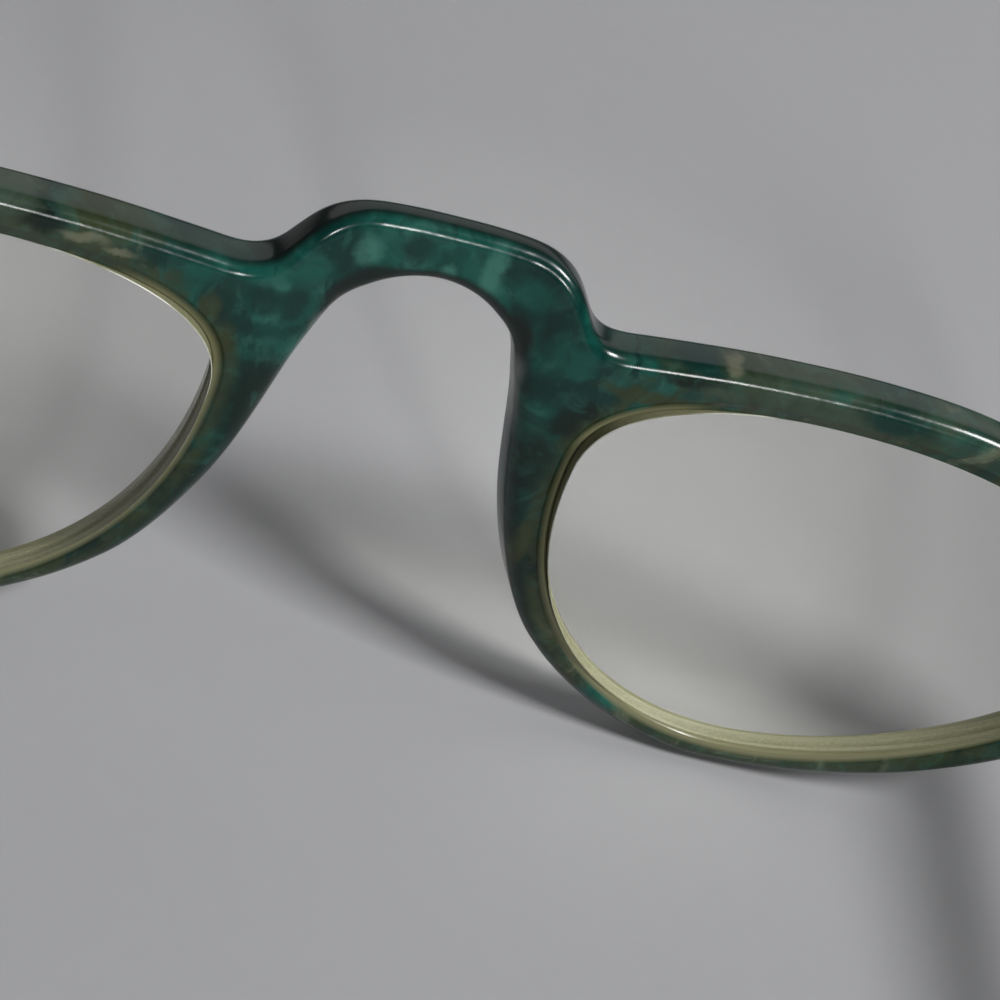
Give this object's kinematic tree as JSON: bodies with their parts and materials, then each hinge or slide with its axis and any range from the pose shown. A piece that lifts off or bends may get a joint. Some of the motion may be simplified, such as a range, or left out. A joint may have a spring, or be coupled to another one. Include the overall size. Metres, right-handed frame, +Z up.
{
  "type": "reading glasses",
  "caption": "Half-eye reading glasses: marbled acetate front with a raised arched bridge, clear lenses and folding wire-cored temples on riveted hinges.",
  "frame": {"origin": "middle of the outside box in X and Y, on the table surface under the rims and temple tips", "axes": "+X towards the wearer's left, +Y from the front towards the ears, +Z up from the table, as the glasses stand open"},
  "size_m": [0.1346, 0.1504, 0.0366],
  "materials": {
    "acetate": "polished, marbled teal green with olive and tan",
    "lens": "clear, polished",
    "metal": "polished nickel silver"
  },
  "bodies": {
    "front_body": {"front": "acetate", "lens_right": "lens", "lens_left": "lens", "front_rivets": "metal", "front_hinge_right": "metal", "front_hinge_left": "metal", "hinge_screw_right": "metal", "hinge_screw_left": "metal"},
    "temple_left_body": {"temple_left": "acetate", "core_wire_left": "metal", "temple_hinge_left": "metal", "temple_rivets_left": "metal"},
    "temple_right_body": {"temple_right": "acetate", "core_wire_right": "metal", "temple_hinge_right": "metal", "temple_rivets_right": "metal"}
  },
  "joints": [
    {"name": "temple_left_fold", "type": "hinge", "parent": "front_body", "child": "temple_left_body", "pos_m": [0.0618, -0.06174, 0.02599], "axis": [0, -0.1564, 0.9877], "range_deg": [0, 90]},
    {"name": "temple_right_fold", "type": "hinge", "parent": "front_body", "child": "temple_right_body", "pos_m": [-0.0618, -0.06174, 0.02599], "axis": [0, 0.1564, -0.9877], "range_deg": [0, 84]}
  ]
}
